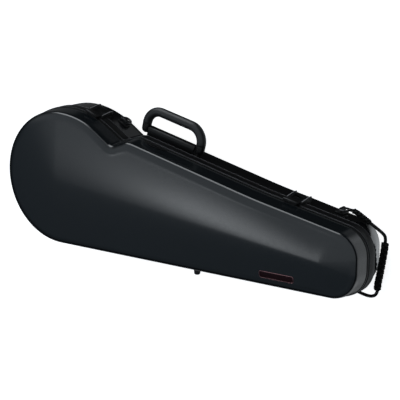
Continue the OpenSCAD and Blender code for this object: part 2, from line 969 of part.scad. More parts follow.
module bow_tip_pocket() {
    block = [32, 60, 17];
    bore_r = 6.5;
    pocket_at = [700, 62];
    top_z = 36;
    color(velvet) in_case()
        translate([pocket_at[0], pocket_at[1] - block[1] / 2, top_z - block[2]])
            difference() {
                cube(block);
                for (side = [-1, 1])
                    translate([-1, block[1] / 2 + side * 15, block[2] / 2])
                        rotate([0, 90, 0])
                            cylinder(h = 28, r = bore_r, $fn = fine);
            }
}

base_shell();
base_rim();
seam_gasket();
base_lining();
neck_lining();
end_lining();
neck_cradle();
neck_strap();
rosin_hinge_pin();
handle_bracket();
bracket_screws();
latch_plate(0);  // latch_plate_left
latch_plate(1);  // latch_plate_right
latch_pin(0);  // latch_pin_left
latch_pin(1);  // latch_pin_right
waist_ring_mount();
end_ring_mount();
neck_ring_mounts();
neck_ring(true, upper_lean);  // neck_ring_upper
neck_ring(false, lower_lean);  // neck_ring_lower
carry_strap_upper();
carry_strap_grip();
carry_strap_lower();
carry_strap_wrap();
base_hinge_leaves();
hinge_pins();
side_feet();
back_feet();
lid_shell();
lid_rim();
lid_lining();
lid_hinge_leaves();
latch_keepers();
lid_foot();
lid_thumb_lip();
badge_plate();
bow_posts();
bow_tip_pocket();
handle_grip();
handle_sleeves();
latch_lever(0);  // latch_lever_left
latch_lever(1);  // latch_lever_right
waist_ring();
end_ring();
bow_spinner(spinner_ws[0]);  // bow_spinner_left
bow_spinner(spinner_ws[1]);  // bow_spinner_right
rosin_lid();
rosin_lid_tab();
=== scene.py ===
"""Looks of the violin case: fine moulded shells, soft linings, plaited carry loop, materials,
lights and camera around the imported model. Shapes are drawn in case coordinates, in millimetres:
u from the body end, w from the hinge side, z over the seam. at() turns them into the row frame.
"""

import json
import math

import bmesh
import bpy
from mathutils import Matrix, Vector
from mathutils.bvhtree import BVHTree


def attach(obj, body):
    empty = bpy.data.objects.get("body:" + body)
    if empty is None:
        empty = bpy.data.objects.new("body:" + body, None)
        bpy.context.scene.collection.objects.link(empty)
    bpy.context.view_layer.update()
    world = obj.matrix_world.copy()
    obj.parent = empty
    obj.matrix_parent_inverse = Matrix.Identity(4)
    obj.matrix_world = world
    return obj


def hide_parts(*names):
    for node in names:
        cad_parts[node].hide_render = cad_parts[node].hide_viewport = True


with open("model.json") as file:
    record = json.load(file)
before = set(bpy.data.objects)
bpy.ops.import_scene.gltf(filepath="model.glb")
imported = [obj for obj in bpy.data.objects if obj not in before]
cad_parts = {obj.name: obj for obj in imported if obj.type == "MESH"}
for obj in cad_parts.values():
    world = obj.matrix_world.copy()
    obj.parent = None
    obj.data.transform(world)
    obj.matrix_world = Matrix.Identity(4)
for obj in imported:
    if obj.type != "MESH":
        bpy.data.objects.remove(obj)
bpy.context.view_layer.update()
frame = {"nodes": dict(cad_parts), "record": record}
scene = bpy.context.scene

MM = 0.001
UP = Vector((0, 0, 1))
ORIGIN_U, ORIGIN_W, SEAM_Z = 379.9, 129.2, 87.0


def at(u, w, z):
    """A point given in case coordinates, in the row frame."""
    return Vector(((ORIGIN_U - u) * MM, (ORIGIN_W - w) * MM, (SEAM_Z + z) * MM))


# ---- Camera, at the photograph's angle ----
CAMERA_AT = Vector((-1.4966, -0.63283, 2.14766))
CAMERA_RIGHT = Vector((-0.81781783, 0.0, -0.57547718))
CAMERA_UP = Vector((0.14191367, -0.96911691, -0.2016753))
LENS_MM, SENSOR_MM = 130.5, 36.0

camera_data = bpy.data.cameras.new("camera")
camera_data.lens = LENS_MM
camera_data.sensor_width = SENSOR_MM
camera = bpy.data.objects.new("camera", camera_data)
back = CAMERA_RIGHT.cross(CAMERA_UP)
axes = Matrix((CAMERA_RIGHT, CAMERA_UP, back)).transposed()
camera.matrix_world = Matrix.Translation(CAMERA_AT) @ axes.to_4x4()
scene.collection.objects.link(camera)
scene.camera = camera

# ---- Small mesh tools ----
BODY_OF = {
    node: body
    for body, nodes in frame["record"]["behaviour"]["bodies"].items()
    for node in nodes
}


def piece_from(name, verts, faces, body, finish, sharp=35.0):
    """A piece from points in the row frame, smooth except where its faces meet sharply."""
    mesh = bpy.data.meshes.new(name)
    mesh.from_pydata([tuple(v) for v in verts], [], faces)
    return piece_of(name, mesh, body, finish, sharp)


def piece_of(name, mesh, body, finish, sharp):
    """A piece from a mesh, on a body; finish is a slot's name and its material."""
    mesh.validate()
    build = bmesh.new()
    build.from_mesh(mesh)
    bmesh.ops.recalc_face_normals(build, faces=build.faces)
    build.to_mesh(mesh)
    build.free()
    mesh.shade_smooth()
    mesh.set_sharp_from_angle(angle=math.radians(sharp))
    piece = bpy.data.objects.new(name, mesh)
    scene.collection.objects.link(piece)
    slot_name, material = finish
    mesh.materials.clear()
    mesh.materials.append(material)
    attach(piece, body)
    return piece


def applied(piece, *modifiers):
    """Applies modifiers, given as (type, {setting: value}), and leaves a plain mesh."""
    for kind, settings in modifiers:
        modifier = piece.modifiers.new(kind.lower(), kind)
        for key, value in settings.items():
            setattr(modifier, key, value)
    graph = bpy.context.evaluated_depsgraph_get()
    mesh = bpy.data.meshes.new_from_object(piece.evaluated_get(graph))
    piece.modifiers.clear()
    old, piece.data = piece.data, mesh
    bpy.data.meshes.remove(old)
    return piece


def loop_faces(rows, count, closed_rows=False):
    """Quads between rows of count points each, every row closed on itself."""
    faces = []
    for r in range(rows if closed_rows else rows - 1):
        s = (r + 1) % rows
        for i in range(count):
            j = (i + 1) % count
            faces.append((r * count + i, r * count + j, s * count + j, s * count + i))
    return faces


def smooth_line(points, steps):
    """A Catmull-Rom line through points of any dimension, steps to each stretch."""
    ext = [points[0]] + list(points) + [points[-1]]
    line = []
    for k in range(1, len(ext) - 2):
        a, b, c, d = (Vector(p) for p in ext[k - 1 : k + 3])
        for i in range(steps):
            t = i / steps
            line.append(
                0.5
                * (
                    2 * b
                    + (c - a) * t
                    + (2 * a - 5 * b + 4 * c - d) * t**2
                    + (3 * b - a - 3 * c + d) * t**3
                )
            )
    line.append(Vector(points[-1]))
    return line


NEARLY_UPRIGHT = 0.95


def tube_mesh(line, radius, sides):
    """Points and faces of a closed tube along a line of points.

    The radius may be a function of the share of the points passed."""
    verts, faces = [], []
    count = len(line)
    up = Vector((0, 0, 1))
    for i, p in enumerate(line):
        ahead = (line[min(i + 1, count - 1)] - line[max(i - 1, 0)]).normalized()
        if abs(ahead.dot(up)) > NEARLY_UPRIGHT:
            up = Vector((0, 1, 0))
        across = ahead.cross(up).normalized()
        over = across.cross(ahead)
        r = radius(i / (count - 1)) if callable(radius) else radius
        for k in range(sides):
            a = 2 * math.pi * k / sides
            verts.append(p + r * (math.cos(a) * across + math.sin(a) * over))
    faces = loop_faces(count, sides)
    faces.append(tuple(range(sides - 1, -1, -1)))
    faces.append(tuple((count - 1) * sides + k for k in range(sides)))
    return verts, faces


# ---- Materials ----
def node(tree, kind, links=None, **settings):
    """A shader node; links maps an input's name to a value or to another node's output."""
    made = tree.nodes.new(kind)
    for key, value in settings.items():
        setattr(made, key, value)
    for name, value in (links or {}).items():
        socket = made.inputs[name]
        if isinstance(value, bpy.types.NodeSocket):
            tree.links.new(value, socket)
        else:
            socket.default_value = value
    return made


DARKER = 0.82               # how dark a surface's patches are where no tint is given
PATCH_LOW, PATCH_HIGH = 0.32, 0.68
GRAIN_LOW, GRAIN_HIGH = 0.3, 0.7
LEAST_ROUGH = 0.02
RIB_SCALE = 1500.0 / 6.28


def surface(name, color, roughness, fixed=None, tint=None, patch=9.0, grain=900.0, bump=0.05,
            wear=0.06, stretch=(1, 1, 1), depth=0.0004):
    """A procedural surface: colour patches, roughness that varies, and a fine grain as bump."""
    material = bpy.data.materials.new(name)
    material.use_nodes = True
    tree = material.node_tree
    shader = tree.nodes["Principled BSDF"]
    for key, value in (fixed or {}).items():
        shader.inputs[key].default_value = value
    place = node(tree, "ShaderNodeTexCoord").outputs["Object"]
    spread = node(tree, "ShaderNodeMapping", {"Vector": place, "Scale": stretch}).outputs["Vector"]
    cloud = node(tree, "ShaderNodeTexNoise",
                 {"Vector": spread, "Scale": patch, "Detail": 5.0, "Roughness": 0.6})
    fine = node(tree, "ShaderNodeTexNoise",
                {"Vector": spread, "Scale": grain, "Detail": 3.0, "Roughness": 0.55})
    ramp = node(tree, "ShaderNodeValToRGB", {"Fac": cloud.outputs["Fac"]})
    low, high = ramp.color_ramp.elements
    low.position, high.position = PATCH_LOW, PATCH_HIGH
    low.color = (*(tint or [c * DARKER for c in color]), 1)
    high.color = (*color, 1)
    tree.links.new(ramp.outputs["Color"], shader.inputs["Base Color"])
    rough = node(tree, "ShaderNodeMapRange",
                 {"Value": fine.outputs["Fac"], "From Min": GRAIN_LOW, "From Max": GRAIN_HIGH,
                  "To Min": max(LEAST_ROUGH, roughness - wear), "To Max": roughness + wear})
    tree.links.new(rough.outputs["Result"], shader.inputs["Roughness"])
    relief = node(tree, "ShaderNodeBump",
                  {"Height": fine.outputs["Fac"], "Strength": bump, "Distance": depth})
    tree.links.new(relief.outputs["Normal"], shader.inputs["Normal"])
    return material


def woven(name, color):
    """Webbing: two crossing sets of ribs."""
    material = surface(name, color, 0.75, {"Sheen Weight": 0.25, "Sheen Roughness": 0.5})
    tree = material.node_tree
    shader = tree.nodes["Principled BSDF"]
    place = node(tree, "ShaderNodeTexCoord").outputs["Object"]
    ribs = [
        node(tree, "ShaderNodeTexWave", {"Vector": place, "Scale": RIB_SCALE, "Distortion": 0.4},
             bands_direction=axis).outputs["Fac"]
        for axis in ("X", "Y")
    ]
    cross = node(tree, "ShaderNodeMath", operation="MULTIPLY")
    tree.links.new(ribs[0], cross.inputs[0])
    tree.links.new(ribs[1], cross.inputs[1])
    relief = node(tree, "ShaderNodeBump",
                  {"Height": cross.outputs["Value"], "Strength": 0.6, "Distance": 0.0005})
    tree.links.new(relief.outputs["Normal"], shader.inputs["Normal"])
    return material


def finish_of(slot_name, color, roughness, fixed=None, name=None, **settings):
    """A slot's name with its surface, which is named after the slot unless it has its own name."""
    return slot_name, surface(name or slot_name, color, roughness, fixed, **settings)


LID = finish_of("lid_gloss", (0.0055, 0.0075, 0.009), 0.2,
                {"Coat Weight": 0.2, "Coat Roughness": 0.1},
                patch=5.0, grain=420.0, bump=0.03, wear=0.03)
BASE = finish_of("base_gloss", (0.003, 0.0033, 0.004), 0.16,
                 {"Coat Weight": 0.4, "Coat Roughness": 0.08},
                 grain=420.0, bump=0.04, wear=0.04)
PLASTIC = finish_of("black_plastic", (0.0045, 0.0047, 0.005), 0.34, {"Specular IOR Level": 0.22},
                    grain=1400.0, bump=0.12, wear=0.05)
SEAL = finish_of("seal_rubber", (0.008, 0.008, 0.008), 0.7, grain=1600.0, bump=0.2)
RUBBER = finish_of("grip_rubber", (0.009, 0.0095, 0.0105), 0.44, grain=1300.0, bump=0.2)
VELVET = finish_of("velvet", (0.17, 0.014, 0.026), 0.85,
                   {"Sheen Weight": 0.8, "Sheen Roughness": 0.35,
                    "Sheen Tint": (0.9, 0.35, 0.4, 1), "Specular IOR Level": 0.15},
                   tint=(0.11, 0.008, 0.016), patch=26.0, grain=2600.0, bump=0.5, depth=0.0006)
WEBBING = ("webbing", woven("webbing", (0.012, 0.012, 0.013)))
PLAIT = finish_of("plaited_cord", (0.0035, 0.0035, 0.0035), 0.6, {"Specular IOR Level": 0.15},
                  grain=1800.0, bump=0.35, patch=60.0)
STEEL = finish_of("steel", (0.07, 0.07, 0.072), 0.28, {"Metallic": 1.0},
                  grain=700.0, bump=0.08, stretch=(1, 1, 9), tint=(0.045, 0.045, 0.047))
PIPING = finish_of("velvet", (0.016, 0.006, 0.008), 0.85, {"Specular IOR Level": 0.2},
                   name="piping", grain=2200.0, bump=0.3, patch=120.0)
# Painted highlight: a lighter, metallic copy of the rim's black plastic, for the light lines along
# the base rim's edges
RIM_PAINTED_HIGHLIGHT = finish_of("black_plastic", (0.085, 0.085, 0.09), 0.4, {"Metallic": 0.8},
                 name="rim_edge_painted_highlight", patch=60.0)
# Painted highlight: the light metal colour of the rail strips stands in for light caught on the
# latch rails' edges
RAIL_PAINTED_HIGHLIGHT = finish_of("steel", (0.5, 0.5, 0.52), 0.35, {"Metallic": 0.8}, name="rail_edge_painted_highlight", patch=60.0)
EDGE = finish_of("badge_metal", (0.36, 0.19, 0.2), 0.3, {"Metallic": 0.9},
                 name="badge_edge", patch=60.0)
BADGE = finish_of("badge_metal", (0.016, 0.003, 0.005), 0.4, {"Specular IOR Level": 0.12},
                  tint=(0.009, 0.003, 0.004), patch=40.0)

# ---- Outline of the case, as in the CAD source but finer ----
CASE_L, BODY_W, NECK_W = 768.0, 254.0, 110.0
BODY_R = BODY_W / 2
NECK_MID, SPINE_END = 63.0, CASE_L - 68
CROWN_DROP, CROWN_EDGE, CROWN_POWER = 6.9, 13.0, 1.6
CROWN_LEAN = 6              # how much nearer the crown's edge is on the handle side, at the neck
WAIST_U = 253.0
FULL_END, FULL_FADE = WAIST_U + 20, 120     # where a ring's fullness ends, and its fade's length
RAKE_U = 560                # where the neck end's rake starts
STRETCH_MM = 14.0
ARC_STEPS = 48              # steps of a quarter turn round the body's end


def corner(before, corner_at, after, r, n):
    """A corner of the outline as n + 1 points (u, w, normal u, normal w) on an arc of radius r."""
    before, corner_at, after = Vector(before), Vector(corner_at), Vector(after)
    inward, out = (corner_at - before).normalized(), (after - corner_at).normalized()
    turn = math.atan2(inward.x * out.y - inward.y * out.x, inward.dot(out))
    side = 1 if turn < 0 else -1
    first = math.atan2(inward.x, -inward.y)
    start = corner_at - inward * r * math.tan(abs(turn) / 2)
    centre = start - side * r * Vector((math.cos(first), math.sin(first)))
    arc = []
    for i in range(n + 1):
        a = first + turn * i / n
        normal = Vector((math.cos(a), math.sin(a)))
        p = centre + side * r * normal
        arc.append((p.x, p.y, normal.x, normal.y))
    return arc


def stretched(chain):
    """The chain with its long straight stretches divided."""
    full = [chain[0]]
    for a, b in zip(chain, chain[1:]):
        steps = max(1, round(math.dist(a[:2], b[:2]) / STRETCH_MM))
        for k in range(1, steps + 1):
            full.append(tuple(x + (y - x) * k / steps for x, y in zip(a, b)))
    return full


BODY_TOP, SHOULDER, WAIST = (0, BODY_W), (178, BODY_W), (WAIST_U, 204)
CREST, SLOPE = (290, 217), (560, 151.5)
NECK_TOP, NECK_BOTTOM = (CASE_L, NECK_W), (CASE_L, 0)
body_arc = []
for step in range(ARC_STEPS + 1):
    angle = math.pi * (1 - step / (2 * ARC_STEPS))
    c, s = math.cos(angle), math.sin(angle)
    body_arc.append((BODY_R + BODY_R * c, BODY_R + BODY_R * s, c, s))
neck_top_arc = corner(SLOPE, NECK_TOP, NECK_BOTTOM, r=46, n=26)
slope_side = stretched(
    body_arc[-1:]
    + corner(BODY_TOP, SHOULDER, WAIST, r=170, n=14)
    + corner(SHOULDER, WAIST, CREST, r=17, n=12)
    + corner(WAIST, CREST, SLOPE, r=35, n=10)
    + corner(CREST, SLOPE, NECK_TOP, r=1500, n=6)
    + neck_top_arc[:1]
)[1:]
handle_side = body_arc + slope_side[:-1] + neck_top_arc
neck_arc = corner(NECK_TOP, NECK_BOTTOM, (0, 0), r=50, n=26)
hinge_side = (
    [(p[0], BODY_W - p[1], p[2], -p[3]) for p in body_arc]
    + [(p[0], 0, 0, -1) for p in slope_side[:-1]]
    + neck_arc[::-1]
)
HALF = len(handle_side)
OUTLINE = handle_side + hinge_side[:0:-1]
COUNT = len(OUTLINE)


def spine_at(u):
    """The point of the crown's spine that belongs to u."""
    s = min(max(u, BODY_R), SPINE_END)
    return s, BODY_R + (NECK_MID - BODY_R) * (s - BODY_R) / (SPINE_END - BODY_R)


def crown(u, w):
    """How far the lid has fallen at a point.

    That is nothing on the spine, and CROWN_DROP at CROWN_EDGE from the rim."""
    su, sw = spine_at(u)
    du, dw = u - su, w - sw
    far = math.hypot(du, dw)
    if far < 1e-6:
        return 0
    along = (su - BODY_R) / (SPINE_END - BODY_R)
    body_reach = BODY_R - CROWN_EDGE
    neck_reach = NECK_MID - CROWN_EDGE - (CROWN_LEAN if dw > 0 else 0)
    side_reach = body_reach + (neck_reach - body_reach) * along
    end_reach = body_reach if du < 0 else CASE_L - CROWN_EDGE - SPINE_END
    reach = math.hypot(end_reach * du / far, side_reach * dw / far)
    return CROWN_DROP * (far / reach) ** CROWN_POWER


def ring_points(ring):
    """The points of one ring round the case.

    A ring is (outward offset, z, share of the way to the spine, rake, fullness, crown)."""
    off, z, share, rake, full, domed = ring
    points = []
    for u, w, nu, nw in OUTLINE:
        out = off + full * min(1, max(0, (FULL_END - u) / FULL_FADE))
        su, sw = spine_at(u)
        pu, pw = u + nu * out, w + nw * out
        pu, pw = pu + (su - pu) * share, pw + (sw - pw) * share
        pu -= rake * max(0, (pu - RAKE_U) / (CASE_L - RAKE_U)) ** 2
        points.append(at(pu, pw, z + (domed * (CROWN_DROP - crown(pu, pw)) if domed else 0)))
    return points


def cap_faces(start):
    """The strip across a ring, from the handle side to the hinge side."""
    faces = []
    for i in range(HALF - 1):
        near = COUNT - i - 1
        quad = (0, 1, near) if i == 0 else (i, i + 1, near, COUNT - i)
        if quad[1] == quad[2] % COUNT:
            quad = quad[:2] + quad[3:]
        faces.append(tuple(start + k % COUNT for k in quad))
    return faces


SKIN_SHARP, BEAD_SHARP = 50.0, 80.0


def skin(name, rings, body, finish):
    """A closed shell of rings, from the strip across the first to the strip across the last."""
    verts = [p for ring in rings for p in ring_points(ring)]
    faces = loop_faces(len(rings), COUNT)
    faces += cap_faces(0) + cap_faces((len(rings) - 1) * COUNT)
    return piece_from(name, verts, faces, body, finish, SKIN_SHARP)


def band(name, profile, body, finish, sharp=35.0):
    """A closed section of (offset, z) swept round the outline."""
    verts = [p for off, z in profile for p in ring_points((off, z, 0, 0, 0, 0))]
    faces = loop_faces(len(profile), COUNT, closed_rows=True)
    return piece_from(name, verts, faces, body, finish, sharp)


# ---- Moulded shells ----
LID_H, BASE_D, WALL_T = 48.0, 82.0, 3.0
SEAM_OUT, SHELL_TOP_OUT = 2.8, 2.2
NECK_RAKE, BODY_FULL = 12.0, 2.0
LID_LOW, BASE_TOP = 6.0, -20.5
SPINE_SHARES = (0.985, 0.93, 0.84, 0.72, 0.58, 0.44, 0.3, 0.18, 0.08)


def smooth_rings(rings, steps):
    """smooth_line for six numbers a ring."""
    front = smooth_line([r[:3] for r in rings], steps)
    rest = smooth_line([r[3:] for r in rings], steps)
    return [(*a, *b) for a, b in zip(front, rest)]


def lid_face(inset, drop, steps):
    """The lid's outside from the spine down to the rim, moved inwards by inset and drop."""
    top = LID_H - CROWN_DROP - drop
    rings = [(-CROWN_EDGE - inset, top, share, 0, 0, 1) for share in SPINE_SHARES]
    rings += [
        (-CROWN_EDGE - inset, top, 0, 0, 0, 1),
        (-9 - inset, LID_H - 7.5 - drop, 0, 0, 0, 0.55),
        (-5.5 - inset, LID_H - 8.7 - drop, 0, 0, 0, 0.2),
        (-1.2 - inset, LID_H - 12 - drop, 0, 0, 0, 0),
        (0.4 - inset, LID_H - 17.5 - drop / 2, 0, 0, 0, 0),
        (1.7 - inset, LID_LOW + 12, 0, 0, 0, 0),
        (SEAM_OUT - inset, LID_LOW, 0, 0, 0, 0),
    ]
    return smooth_rings(rings, steps)


def base_face(inset, lift, steps):
    """The base's outside from its bottom up to the rim, moved inwards by inset and lift."""
    rings = [
        (-18 - inset, lift - BASE_D, 0, NECK_RAKE + 2, BODY_FULL, 0),
        (-11 - inset, lift - BASE_D + 2, 0, NECK_RAKE + 2, BODY_FULL, 0),
        (-5 - inset, lift - BASE_D + 6.5, 0, NECK_RAKE + 2, BODY_FULL, 0),
        (-1.5 - inset, lift / 2 - BASE_D + 12, 0, NECK_RAKE + 1, BODY_FULL, 0),
        (-inset, 18 - BASE_D, 0, NECK_RAKE, BODY_FULL, 0),
        (1.3 - inset, -42, 0, NECK_RAKE / 2, BODY_FULL / 2, 0),
        (SHELL_TOP_OUT - inset, BASE_TOP, 0, 2, 0, 0),
    ]
    return smooth_rings(rings, steps)


OUTER_STEPS, INNER_STEPS = 5, 2
lid_rings = lid_face(0, 0, OUTER_STEPS) + lid_face(WALL_T, WALL_T, INNER_STEPS)[::-1]
lid = skin("lid_shell_fine", lid_rings, "lid", LID)
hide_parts("lid_shell")

base_rings = base_face(0, 0, OUTER_STEPS) + base_face(WALL_T, WALL_T, INNER_STEPS)[::-1]
base = skin("base_shell_fine", base_rings, "base", BASE)
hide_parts("base_shell")

# ---- Rims and seal ----
RIM_OUT, RIM_IN = 4.4, -3.2
base_rim = band("base_rim_fine",
                [(RIM_IN, BASE_TOP), (RIM_OUT - 1.2, BASE_TOP), (RIM_OUT - 0.3, BASE_TOP + 0.4),
                 (RIM_OUT, BASE_TOP + 1.4), (RIM_OUT, -2.2), (RIM_OUT - 0.4, -1.1),
                 (RIM_OUT - 1.4, -0.5), (-1.1, -0.5), (-1.1, 2.1), (-1.5, 2.5), (-2.8, 2.5),
                 (RIM_IN, 2.1)], "base", PLASTIC)
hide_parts("base_rim")
lid_rim = band("lid_rim_fine",
               [(-0.3, 0.5), (RIM_OUT - 1.9, 0.5), (RIM_OUT - 0.9, 1.1), (RIM_OUT - 0.5, 2.2),
                (RIM_OUT - 0.5, 4.6), (RIM_OUT - 0.9, 5.6), (RIM_OUT - 1.6, LID_LOW),
                (-0.3, LID_LOW)], "lid", PLASTIC)
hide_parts("lid_rim")
gasket = band("seam_gasket_fine", [(0.4, -0.5), (2.6, -0.5), (2.6, 0), (2.2, 0.2), (0.4, 0.2)],
              "base", SEAL)
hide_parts("seam_gasket")


def bead(name, out, z, radius, body, finish, sides=10):
    """A round edge all the way round the case, at an offset and a height."""
    turns = [2 * math.pi * k / sides for k in range(sides)]
    section = [(out + radius * math.cos(a), z + radius * math.sin(a)) for a in turns]
    return band(name, section, body, finish, BEAD_SHARP)


RIM_EDGE_R = 0.45
# Thin beads along the base rim's low and top edges, in the painted-highlight finish
bead("base_rim_low_edge", RIM_OUT - 0.25, BASE_TOP + 0.9, RIM_EDGE_R, "base", RIM_PAINTED_HIGHLIGHT)
bead("base_rim_top_edge", RIM_OUT - 0.3, -1.7, RIM_EDGE_R, "base", RIM_PAINTED_HIGHLIGHT)

# ---- Carry loop: a stiff cord between the two neck rings, with a plaited grip ----
WRAP = [(705.6, 133.7, -50), (713, 133, -50), (721, 130, -50), (729, 125.4, -50.3)]
UPPER = [(729, 125.4, -50.3), (737, 120.6, -50.7), (746, 115.5, -51), (759, 107.5, -52),
         (767.9, 101.6, -52.5), (772.1, 96.7, -53), (773.3, 90.4, -53), (772.8, 84.4, -53)]
GRIP = [(772.8, 84.4, -53), (772, 74.4, -53), (769.8, 62, -54), (767.6, 49, -54.5),
        (765.4, 36, -54.5), (763.4, 23, -54), (761.6, 11, -53), (760.8, 1, -53)]
LOWER = [(760.8, 1, -53), (760.4, -4, -53), (757.5, -9.6, -52.5), (752.5, -12.4, -52),
         (746, -13.3, -51.5), (736, -12, -51), (727, -9.7, -50.5), (718.4, -7.6, -50)]
CORD_R, PLAIT_R, BIND_R = 2.88 * MM, 6.0 * MM, 4.5 * MM
CORD_STEPS, GRIP_STEPS, CORD_SIDES, STRAND_SIDES = 6, 12, 16, 8
BOUND = slice(5, 30)        # the points of the cord near its upper ring that the binding covers
STRAND_FILL = 0.95          # a strand's radius as a share of the plait's thickness
PLAIT_SHARP = 60.0

cord_line = smooth_line([at(*p) for p in WRAP + UPPER[1:] + GRIP[1:] + LOWER[1:]], CORD_STEPS)
loop = piece_from("carry_cord", *tube_mesh(cord_line, CORD_R, CORD_SIDES), "base", PLAIT)
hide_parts("carry_strap_wrap", "carry_strap_upper", "carry_strap_lower")

grip_line = smooth_line([at(*p) for p in GRIP], GRIP_STEPS)


def plait(line, radius, strands, turns, thick):
    """Strands wound both ways over and under each other round a line."""
    verts, faces = [], []
    count = len(line) * 4
    for k in range(strands):
        way = 1 if k % 2 else -1
        phase = 2 * math.pi * (k // 2) / (strands / 2)
        strand = []
        for i in range(count):
            share = i / (count - 1)
            place = share * (len(line) - 1)
            n = min(int(place), len(line) - 2)
            p = line[n].lerp(line[n + 1], place - n)
            ahead = (line[n + 1] - line[n]).normalized()
            across = ahead.cross(UP).normalized()
            over = across.cross(ahead)
            a = phase + way * 2 * math.pi * turns * share
            weave = math.cos(a * strands / 2 * way + (0 if way > 0 else math.pi))
            r = radius - thick + 0.5 * thick * weave
            strand.append(p + r * (math.cos(a) * across + math.sin(a) * over))
        ring, quads = tube_mesh(strand, STRAND_FILL * thick, STRAND_SIDES)
        start = len(verts)
        verts += ring
        faces += [tuple(start + i for i in f) for f in quads]
    return verts, faces


grip_mesh = plait(grip_line, PLAIT_R, strands=8, turns=2.6, thick=2.1 * MM)
grip = piece_from("carry_grip_plait", *grip_mesh, "base", PLAIT, PLAIT_SHARP)
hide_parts("carry_strap_grip")
binding_mesh = plait(cord_line[BOUND], BIND_R, strands=6, turns=1.6, thick=1.9 * MM)
binding = piece_from("carry_loop_binding", *binding_mesh, "base", PLAIT, PLAIT_SHARP)

# ---- Soft inside ----


def soft_copy(cad_node, voxel, smooth):
    """The CAD solid as an upholstered piece: remeshed and rounded off."""
    source = frame["nodes"][cad_node]
    piece = piece_of(cad_node + "_velvet", source.data.copy(), BODY_OF[cad_node], VELVET, 180.0)
    applied(piece,
            ("REMESH", {"mode": "VOXEL", "voxel_size": voxel * MM, "use_smooth_shade": True}),
            ("SMOOTH", {"factor": 0.5, "iterations": smooth}))
    piece.data.shade_smooth()
    piece.data.materials.clear()
    piece.data.materials.append(VELVET[1])
    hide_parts(cad_node)
    return piece


for cad_node, voxel, smooth, fill in (
    ("base_lining", 2.5, 8, 0.9),
    ("neck_lining", 2.5, 8, 0.9),
    ("end_lining", 2.5, 8, 0.9),
    ("neck_cradle", 1.5, 8, 0.9),
    ("bow_tip_pocket", 1.2, 8, 0.8),
    ("rosin_lid", 0.6, 4, 0.8),
):
    soft_copy(cad_node, voxel, smooth)

LINING_IN, LINING_T, LINING_LOW = 3.6, 3.0, LID_LOW + 3
outer = lid_face(LINING_IN, LINING_IN, steps=2)
inner = lid_face(LINING_IN + LINING_T, LINING_IN + LINING_T, steps=3)
outer[-1] = (SEAM_OUT - LINING_IN, LINING_LOW, 0, 0, 0, 0)
inner[-1] = (SEAM_OUT - LINING_IN - LINING_T, LINING_LOW, 0, 0, 0, 0)
lid_lining = skin("lid_lining_velvet", outer + inner[::-1], "lid", VELVET)
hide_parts("lid_lining")
LID_PIPING, BASE_PIPING = (-2.3, LID_LOW + 2.7, 1.5), (-5.0, -7.0, 1.4)     # offset, z, radius
bead("lid_lining_piping", *LID_PIPING, "lid", PIPING, sides=12)
bead("base_lining_piping", *BASE_PIPING, "base", PIPING, sides=12)

# ---- Handle grip ----
GRIP_R, GRIP_BEND, HANDLE_H, LEG, SLEEVE_TOP = 8.7, 28.0, 49.0, 62.0, 20.0
HANDLE_AT, HANDLE_W, HANDLE_ANGLE = 340.0, 204.87, math.radians(-13.6361)
BRACKET_OFF, PIVOT_Z = 2.1, -33.0
BEND_STEPS, BAR_STEPS, GRIP_SIDES, GRIP_SHARP = 16, 12, 40, 60.0
END_CUT, END_SHRINK = 0.012, 0.9    # share of the grip's points at each end, and its radius there


def on_wall(u, w, angle, off):
    """Turns a point of a wall (x along it, y out of it, z up) into the row frame."""
    c, s = math.cos(angle), math.sin(angle)

    def place(x, y, z):
        return at(u + x * c - (y + off) * s, w + x * s + (y + off) * c, z)

    return place


on_handle = on_wall(HANDLE_AT, HANDLE_W, HANDLE_ANGLE, BRACKET_OFF)


def handle_line():
    """The grip's line: up a leg, round a bend, along the bar, and down the other side."""
    flat, low = LEG - GRIP_BEND, HANDLE_H - GRIP_BEND
    turns = [math.pi / 2 * i / BEND_STEPS for i in range(BEND_STEPS + 1)]
    bend = [(flat + GRIP_BEND * math.cos(a), low + GRIP_BEND * math.sin(a)) for a in turns]
    bar = [(-flat + 2 * flat * k / BAR_STEPS, HANDLE_H) for k in range(1, BAR_STEPS)]
    line = [(-LEG, SLEEVE_TOP), *[(-x, y) for x, y in bend], *bar, *bend[::-1], (LEG, SLEEVE_TOP)]
    return [on_handle(x, y, PIVOT_Z) for x, y in line]


def grip_radius(share):
    """The grip's radius along it, drawn in at both ends for the joint line with the sleeves."""
    return GRIP_R * MM * (END_SHRINK if min(share, 1 - share) < END_CUT else 1)


handle_mesh = tube_mesh(handle_line(), grip_radius, GRIP_SIDES)
handle = piece_from("handle_grip_rubber", *handle_mesh, "handle", RUBBER, GRIP_SHARP)
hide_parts("handle_grip")


def lathe(name, profile, place, body, finish, sides=24):
    """A turned piece from (radius, height) up its axis.

    place turns (x, y, height) into the row frame."""
    verts = [place(r * math.cos(2 * math.pi * k / sides), r * math.sin(2 * math.pi * k / sides), h)
             for r, h in profile for k in range(sides)]
    faces = loop_faces(len(profile), sides)
    faces.append(tuple(range(sides)))
    faces.append(tuple((len(profile) - 1) * sides + k for k in range(sides)))
    return piece_from(name, verts, faces, body, finish)


# A rivet holds each sleeve, facing the lid
RIVET_UP, RIVET_R = 16.0, 2.0
for side, name in ((-1, "left"), (1, "right")):
    lathe(f"handle_rivet_{name}",
          [(RIVET_R * 1.25, -0.6), (RIVET_R * 1.25, 0.1), (RIVET_R, 0.35), (RIVET_R * 0.8, 0.1),
           (RIVET_R * 0.7, -0.3), (0.1, -0.3)],
          lambda x, y, h, side=side: on_handle(side * LEG + x, RIVET_UP + y, PIVOT_Z + GRIP_R + h),
          "handle", PLASTIC)

# ---- Painted highlights on the latch rails' edges: thin light metal strips stand in for the light the edges catch ----
RAIL_PIN = (5.6, -31.0)     # the latch pin in the wall's section: out of it, up
RAIL_EDGE = [(8.9, -37), (9.3, -36), (9.3, -27.5), (7.3, -17), (5.3, -6.4)]
RAIL_X, RAIL_EDGE_R = 15.3, 0.55


